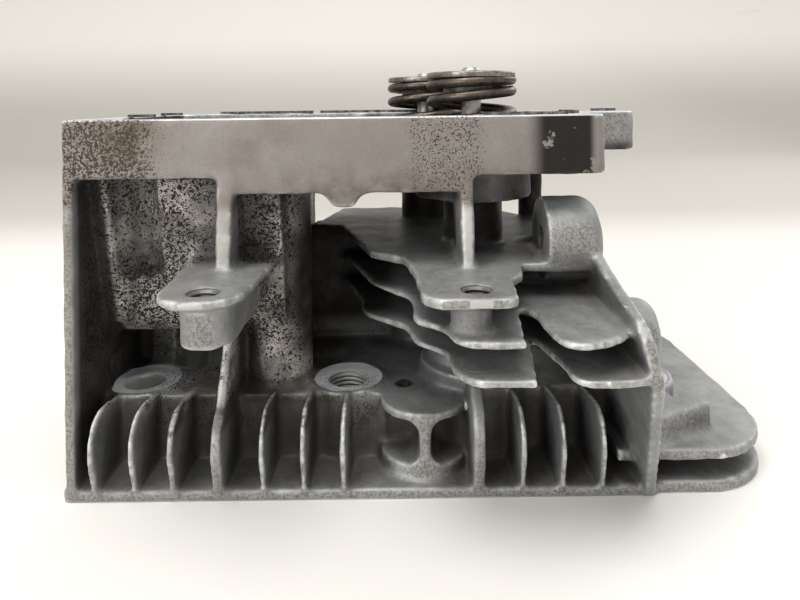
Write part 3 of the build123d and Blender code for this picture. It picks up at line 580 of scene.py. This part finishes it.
WIRE_R = 1.5 * MM
WIRE_GAP = 0.12 * MM                    # between the closed turns
TURNS, CLOSED_TURNS = 5.0, 1.0          # all turns, and the closed ones at each end
GRIND = 0.9 * MM                        # ground off each end
RINGS_PER_TURN, POINTS_PER_RING = 72, 24


def build_spring(node, material):
    """Compression spring with closed ends ground flat."""
    low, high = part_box(node)
    centre = (low + high) / 2
    radius = (high.x - low.x) / 2 - WIRE_R
    closed_pitch = 2 * WIRE_R + WIRE_GAP
    height = high.z - low.z - 2 * WIRE_R + 2 * GRIND
    active = TURNS - 2 * CLOSED_TURNS
    active_pitch = (height - 2 * CLOSED_TURNS * closed_pitch) / active
    around = POINTS_PER_RING

    def rise(turn):
        """Height of the wire's centre above its start."""
        body = min(max(turn - CLOSED_TURNS, 0.0), active)
        return closed_pitch * (turn - body) + active_pitch * body

    points, faces = [], []
    rings = int(TURNS * RINGS_PER_TURN) + 1
    for ring in range(rings):
        turn = ring / RINGS_PER_TURN
        smooth = sum(rise(min(max(turn + shift / 16, 0.0), TURNS)) for shift in range(-2, 3)) / 5
        angle = 2 * math.pi * turn
        middle_z = low.z + WIRE_R - GRIND + smooth
        for k in range(around):
            spin = 2 * math.pi * k / around
            reach = radius + WIRE_R * math.cos(spin)
            z = min(max(middle_z + WIRE_R * math.sin(spin), low.z), high.z)
            points.append((centre.x + reach * math.cos(angle), centre.y + reach * math.sin(angle), z))
        if ring:
            base = (ring - 1) * around
            for k in range(around):
                following = (k + 1) % around
                faces.append((base + k, base + around + k, base + around + following, base + following))
    faces.append(tuple(range(around)))
    faces.append(tuple(range((rings - 1) * around, rings * around))[::-1])
    piece = mesh_piece(node + "_coil", points, faces)
    piece.data.set_sharp_from_angle(angle=math.radians(50))
    piece.data.materials.append(material)
    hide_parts(node)
    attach(piece, "head")
    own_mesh(piece)
    return piece


def dress(nodes, material, bevel=0.0):
    """Gives CAD nodes their material and, where it shows, a fine broken edge."""
    for node in nodes:
        piece = frame["nodes"][node]
        piece.data.materials.clear()
        piece.data.materials.append(material)
        if bevel:
            weld = piece.modifiers.new("weld", "WELD")
            weld.merge_threshold = 0.002 * MM
            broken = piece.modifiers.new("broken_edge", "BEVEL")
            broken.width = bevel
            broken.segments = 2
            broken.limit_method = "ANGLE"
            broken.angle_limit = math.radians(35)


def build_object():
    build_casting(cast_aluminium())
    spring_steel = steel("spring_steel", (0.06, 0.05, 0.042), (0.15, 0.13, 0.11), 0.3, 0.6)
    build_spring("exhaust_spring", spring_steel)
    build_spring("intake_spring", spring_steel)
    both = ("exhaust", "intake")
    dress([f"{side}_valve" for side in both],
          steel("valve_steel", (0.30, 0.28, 0.26), (0.55, 0.53, 0.50), 0.3, 0.4, (1.0, 1.0, 0.15)))
    dress([f"{side}_retainer" for side in both],
          steel("retainer_steel", (0.14, 0.125, 0.11), (0.34, 0.32, 0.29), 0.38, 0.7), 0.15 * MM)
    dress([f"{side}_keeper_{half}" for side in both for half in ("left", "right")],
          steel("keeper_steel", (0.18, 0.17, 0.16), (0.40, 0.39, 0.37), 0.35, 0.5))
    dress([f"{side}_{part}" for side in both for part in ("guide", "seat_insert")],
          steel("sintered_iron", (0.12, 0.115, 0.11), (0.28, 0.27, 0.26), 0.5, 0.4))
    dress([f"{side}_spring_washer" for side in both],
          steel("washer_steel", (0.25, 0.24, 0.22), (0.45, 0.43, 0.40), 0.4, 0.6))
    dress(["intake_stem_seal"], seal_rubber())
    dress(["cover_gasket_remains"], gasket_fibre())


# ==== floor, light, camera ==========================================================================
def build_stage():
    """Pale table running up into a pale wall well behind the object."""
    near, far, bend, top, width = -3.0, 1.6, 0.6, 3.0, 8.0
    profile = [(near, 0.0), (far - bend, 0.0)]
    steps = 24
    for step in range(1, steps + 1):
        angle = math.pi / 2 * step / steps
        profile.append((far - bend + bend * math.sin(angle), bend - bend * math.cos(angle)))
    profile.append((far, top))
    floor_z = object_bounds()[0].z - 0.1 * MM
    points = [(side * width / 2, y, z + floor_z) for y, z in profile for side in (-1, 1)]
    faces = [(2 * k, 2 * k + 1, 2 * k + 3, 2 * k + 2) for k in range(len(profile) - 1)]
    table = mesh_piece("table", points, faces)
    g = Graph("pale_table")
    scuffs = g.times(g.ramp(g.noise(0.02, detail=6.0, rough=0.7, stretch=(0.35, 1.0, 1.0)), 0.62, 0.72), 0.25)
    # painted shade: the table is painted darker towards the back, between 210 and 400 mm
    table_tone_far_shade = g.mix(g.ramp(g.y, 210.0, 400.0), (0.775, 0.76, 0.73), (0.55, 0.53, 0.49))
    tone = g.mix(g.ramp(g.z, 60.0, 300.0), table_tone_far_shade, (0.93, 0.905, 0.86))
    colour = g.mix(scuffs, tone, (0.66, 0.63, 0.59))
    table.data.materials.append(g.finish(colour, 0.0, 0.55, ((scuffs, 0.2),)))


def area_light(name, place, aim, size, watts, tint=(1.0, 1.0, 1.0)):
    light = bpy.data.lights.new(name, "AREA")
    light.shape = "RECTANGLE"
    light.size, light.size_y = size
    light.energy = watts
    light.color = tint
    holder = bpy.data.objects.new(name, light)
    bpy.context.collection.objects.link(holder)
    holder.location = place
    holder.rotation_euler = (Vector(aim) - Vector(place)).to_track_quat("-Z", "Y").to_euler()


WORLD_STRENGTH = 0.80


def build_light():
    """A soft bright room, with the brightest light overhead in front."""
    world = bpy.data.worlds.new("soft_room")
    bpy.context.scene.world = world
    world.use_nodes = True
    background = world.node_tree.nodes["Background"]
    background.inputs[0].default_value = (1.0, 0.985, 0.96, 1.0)
    background.inputs[1].default_value = WORLD_STRENGTH
    middle = (-0.02, 0.0, 0.05)
    area_light("overhead", (-0.15, -0.30, 0.95), middle, (0.7, 0.5), 7.0, (1.0, 0.98, 0.95))
    area_light("front_left", (-0.75, -0.85, 0.45), middle, (0.5, 0.4), 5.0)
    area_light("back_right", (0.8, 0.7, 0.7), middle, (0.8, 0.6), 3.0, (0.95, 0.98, 1.0))
    view = bpy.context.scene.view_settings
    view.view_transform = "Standard"
    view.exposure = 0.0


CAMERA_PLACE = (-26.0 * MM, -219.5 * MM, 103.1 * MM)
LENS, SHIFT, ROLL = 28.67, -0.247, 0.7
AT_STANDPOINT = 0.001                   # the shift holds within this distance


def build_camera():
    """Level camera whose frame is shifted down, as a crop from a larger picture would be.

    The shift belongs to this standpoint only: a driver drops it when the camera is taken elsewhere."""
    data = bpy.data.cameras.new("camera")
    data.lens, data.sensor_width, data.clip_start = LENS, 36.0, 0.01
    camera = bpy.data.objects.new("camera", data)
    bpy.context.collection.objects.link(camera)
    camera.location = CAMERA_PLACE
    camera.rotation_euler = (math.radians(90), math.radians(ROLL), 0)
    mark = bpy.data.objects.new("standpoint", None)
    mark.location = camera.location
    bpy.context.collection.objects.link(mark)
    driver = data.driver_add("shift_y").driver
    driver.type = "SCRIPTED"
    gap = driver.variables.new()
    gap.name, gap.type = "gap", "LOC_DIFF"
    gap.targets[0].id, gap.targets[1].id = camera, mark
    driver.expression = f"{SHIFT} if gap < {AT_STANDPOINT} else 0.0"
    bpy.context.scene.camera = camera


build_object()
build_stage()
build_light()
build_camera()
